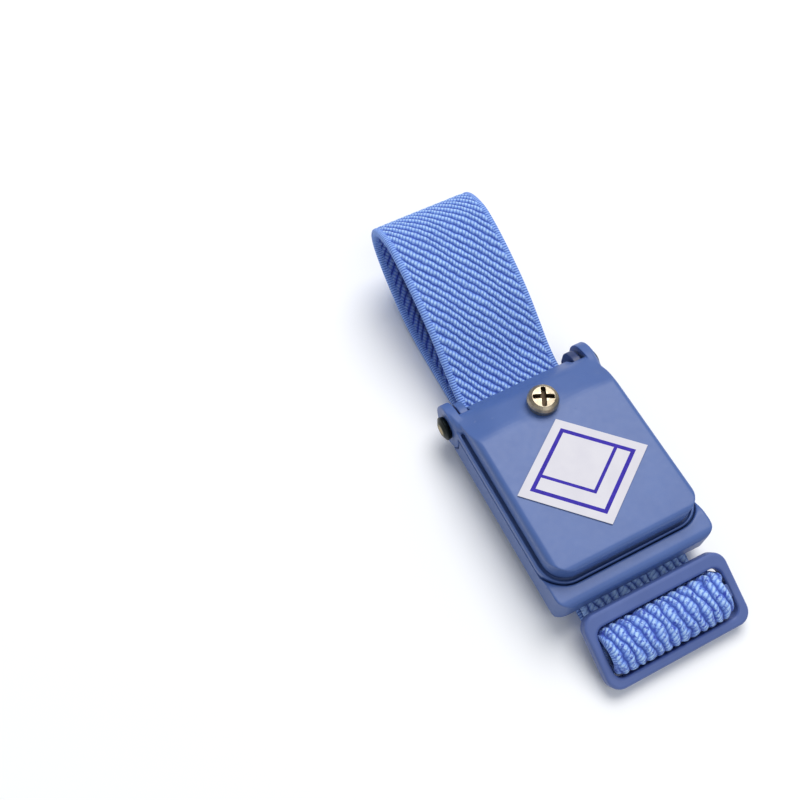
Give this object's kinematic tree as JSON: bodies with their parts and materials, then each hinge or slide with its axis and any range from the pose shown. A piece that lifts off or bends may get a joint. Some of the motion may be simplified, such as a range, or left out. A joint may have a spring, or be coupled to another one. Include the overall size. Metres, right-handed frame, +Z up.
{
  "type": "esd wrist strap",
  "caption": "Cordless anti-static wrist strap: elastic webbing loop, hinged plastic case with a screw contact in its lid, and a flat keeper ring leaning round the folded band end.",
  "frame": {"origin": "bottom centre of the whole strap, on the surface it lies on", "axes": "+X across the band, +Y along the strap from the keeper ring towards the wrist loop, +Z up through the lid"},
  "size_m": [0.0314, 0.0894, 0.0177],
  "materials": {
    "case_plastic": "satin slate blue",
    "webbing": "ribbed elastic webbing",
    "label_film": "white film, indigo print",
    "nickel_brass": "nickel-plated brass, polished",
    "brass": "plain brass",
    "dark_brass": "darkened brass",
    "steel": "stainless steel",
    "resistor_coat": "blue lacquer",
    "black_plastic": "gloss black"
  },
  "bodies": {
    "strap": {"case_base": "case_plastic", "hinge_pin": "dark_brass", "skin_plate": "steel", "plate_rivet_left": "steel", "plate_rivet_right": "steel", "contact_stud": "brass", "band_clamp": "steel", "clamp_rivet_left": "steel", "clamp_rivet_right": "steel", "wrist_band": "webbing", "fold_bar": "black_plastic"},
    "lid": {"case_cover": "case_plastic", "discharge_screw": "nickel_brass", "screw_washer": "steel", "screw_nut": "brass", "contact_strip": "brass", "series_resistor": "resistor_coat", "strip_lead": "steel", "leaf_lead": "steel", "contact_leaf": "brass", "leaf_rivet": "steel", "grip_plate": "steel", "label": "label_film"},
    "ring": {"keeper_ring": "case_plastic"}
  },
  "joints": [
    {"name": "lid_hinge", "type": "hinge", "parent": "strap", "child": "lid", "pos_m": [0, 0.00568, 0.0064], "axis": [-1, 0, 0], "range_deg": [0, 95]},
    {"name": "ring_tilt", "type": "hinge", "parent": "strap", "child": "ring", "pos_m": [0, -0.03932, 0.0036], "axis": [1, 0, 0], "range_deg": [0, 67]}
  ]
}
